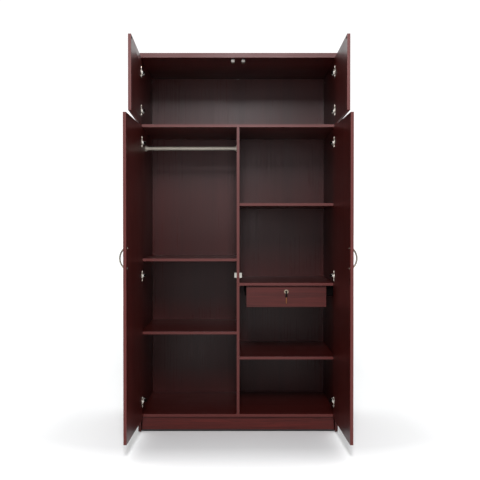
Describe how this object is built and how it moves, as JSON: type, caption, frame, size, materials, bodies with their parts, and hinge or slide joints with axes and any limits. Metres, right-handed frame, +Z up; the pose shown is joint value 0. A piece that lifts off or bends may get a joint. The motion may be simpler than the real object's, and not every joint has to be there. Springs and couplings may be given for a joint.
{
  "type": "armoire",
  "caption": "Tall wardrobe with a loft above two bays, one for hanging and one with shelves and a lockable drawer, hinged doors on every compartment.",
  "frame": {"origin": "on the floor, at the middle of the carcass's width and depth, at the bottom of the centre glide", "axes": "+X to the right as seen from the front, +Y to the back, +Z up; the doors are on the -Y side"},
  "size_m": [1.1455, 1.1468, 2.062],
  "materials": {
    "laminate": "melamine, semi-gloss wine mahogany",
    "hardboard": "printed hardboard, satin",
    "raw_board": "melamine, satin",
    "dark_plastic": "moulded, satin",
    "key_plastic": "moulded",
    "pale_plastic": "moulded, satin",
    "magnet": "ground",
    "plated_steel": "satin nickel plate",
    "zinc_steel": "zinc plate",
    "dark_zinc": "dull cast zinc",
    "brass": "cut, lightly tarnished"
  },
  "bodies": {
    "carcass": {"side_left": "laminate", "side_right": "laminate", "top_board": "laminate", "bottom_board": "laminate", "loft_floor": "laminate", "divider": "laminate", "back_left": "hardboard", "back_right": "hardboard", "back_joiner": "dark_plastic", "back_nails": "zinc_steel", "front_plinth": "laminate", "rear_plinth": "laminate", "cross_rail": "laminate", "plinth_strip": "dark_plastic", "floor_glides": "dark_plastic", "left_shelf_upper": "laminate", "left_shelf_lower": "laminate", "right_shelf_upper": "laminate", "right_shelf_middle": "laminate", "right_shelf_lower": "laminate", "shelf_pins": "zinc_steel", "cam_locks": "zinc_steel", "hanging_rod": "plated_steel", "rod_sockets": "plated_steel", "door_catches": "pale_plastic", "catch_magnets": "magnet", "hinge_plates": "zinc_steel", "hinge_arms": "zinc_steel", "drawer_rails": "raw_board", "runner_outer": "zinc_steel", "lock_strike": "zinc_steel"},
    "lower_left_link_set": {"lower_left_links": "zinc_steel"},
    "lower_left_leaf": {"lower_left_door": "laminate", "lower_left_hinge_cups": "zinc_steel", "lower_left_strike": "zinc_steel", "lower_left_handle": "plated_steel"},
    "lower_right_link_set": {"lower_right_links": "zinc_steel"},
    "lower_right_leaf": {"lower_right_door": "laminate", "lower_right_hinge_cups": "zinc_steel", "lower_right_strike": "zinc_steel", "lower_right_handle": "plated_steel"},
    "upper_left_link_set": {"upper_left_links": "zinc_steel"},
    "upper_left_leaf": {"upper_left_door": "laminate", "upper_left_hinge_cups": "zinc_steel", "upper_left_strike": "zinc_steel"},
    "upper_right_link_set": {"upper_right_links": "zinc_steel"},
    "upper_right_leaf": {"upper_right_door": "laminate", "upper_right_hinge_cups": "zinc_steel", "upper_right_strike": "zinc_steel"},
    "drawer": {"drawer_front": "laminate", "drawer_box": "raw_board", "drawer_bottom": "hardboard", "runner_inner": "zinc_steel", "lock_case": "plated_steel"},
    "ball_cages": {"runner_cages": "zinc_steel"},
    "plug": {"lock_plug": "dark_zinc", "key_stub": "key_plastic"},
    "bolt": {"lock_bolt": "zinc_steel"},
    "key": {"key_bow": "key_plastic", "key_blade": "brass"}
  },
  "joints": [
    {"name": "lower_left_link_turn", "type": "hinge", "parent": "carcass", "child": "lower_left_link_set", "pos_m": [-0.50373, -0.29101, 0.872], "axis": [0, 0, 1], "range_deg": [-21.5, 2.38]},
    {"name": "lower_left_door_turn", "type": "hinge", "parent": "lower_left_link_set", "child": "lower_left_leaf", "pos_m": [-0.52352, -0.31686, 0.872], "axis": [0, 0, -1], "range_deg": [-112.5, 10.59]},
    {"name": "lower_right_link_turn", "type": "hinge", "parent": "carcass", "child": "lower_right_link_set", "pos_m": [0.50373, -0.29101, 0.872], "axis": [0, 0, -1], "range_deg": [-21.57, 2.32]},
    {"name": "lower_right_door_turn", "type": "hinge", "parent": "lower_right_link_set", "child": "lower_right_leaf", "pos_m": [0.52349, -0.31688, 0.872], "axis": [0, 0, 1], "range_deg": [-112.87, 10.22]},
    {"name": "upper_left_link_turn", "type": "hinge", "parent": "carcass", "child": "upper_left_link_set", "pos_m": [-0.51129, -0.29808, 1.8545], "axis": [0, 0, 1], "range_deg": [-21.85, 4.46]},
    {"name": "upper_left_door_turn", "type": "hinge", "parent": "upper_left_link_set", "child": "upper_left_leaf", "pos_m": [-0.5274, -0.31507, 1.8545], "axis": [0, 0, -1], "range_deg": [-109.75, 20.76]},
    {"name": "upper_right_link_turn", "type": "hinge", "parent": "carcass", "child": "upper_right_link_set", "pos_m": [0.51129, -0.29808, 1.8545], "axis": [0, 0, -1], "range_deg": [-22.11, 4.19]},
    {"name": "upper_right_door_turn", "type": "hinge", "parent": "upper_right_link_set", "child": "upper_right_leaf", "pos_m": [0.52733, -0.31514, 1.8545], "axis": [0, 0, 1], "range_deg": [-111.11, 19.39]},
    {"name": "drawer_slide", "type": "slide", "parent": "carcass", "child": "drawer", "axis": [0, -1, 0], "range_m": [0, 0.3]},
    {"name": "cage_slide", "type": "slide", "parent": "carcass", "child": "ball_cages", "axis": [0, -1, 0], "range_m": [-0.001, 0.151]},
    {"name": "lock_turn", "type": "hinge", "parent": "drawer", "child": "plug", "pos_m": [0.2645, -0.275, 0.766], "axis": [0, -1, 0], "range_deg": [0, 90]},
    {"name": "bolt_slide", "type": "slide", "parent": "drawer", "child": "bolt", "axis": [0, 0, 1], "range_m": [-0.0002, 0.0162]},
    {"name": "key_swing", "type": "hinge", "parent": "plug", "child": "key", "pos_m": [0.2645, -0.2835, 0.757], "axis": [-1, 0, 0], "range_deg": [0, 90]}
  ],
  "couplings": [
    {"joint": "lower_left_link_turn", "follows": "lower_left_door_turn", "ratio": 0.18755},
    {"joint": "lower_right_link_turn", "follows": "lower_right_door_turn", "ratio": 0.18755},
    {"joint": "upper_left_link_turn", "follows": "upper_left_door_turn", "ratio": 0.19543},
    {"joint": "upper_right_link_turn", "follows": "upper_right_door_turn", "ratio": 0.19543},
    {"joint": "cage_slide", "follows": "drawer_slide", "ratio": 0.5},
    {"joint": "bolt_slide", "follows": "lock_turn", "m_per_rad": 0.010186}
  ]
}
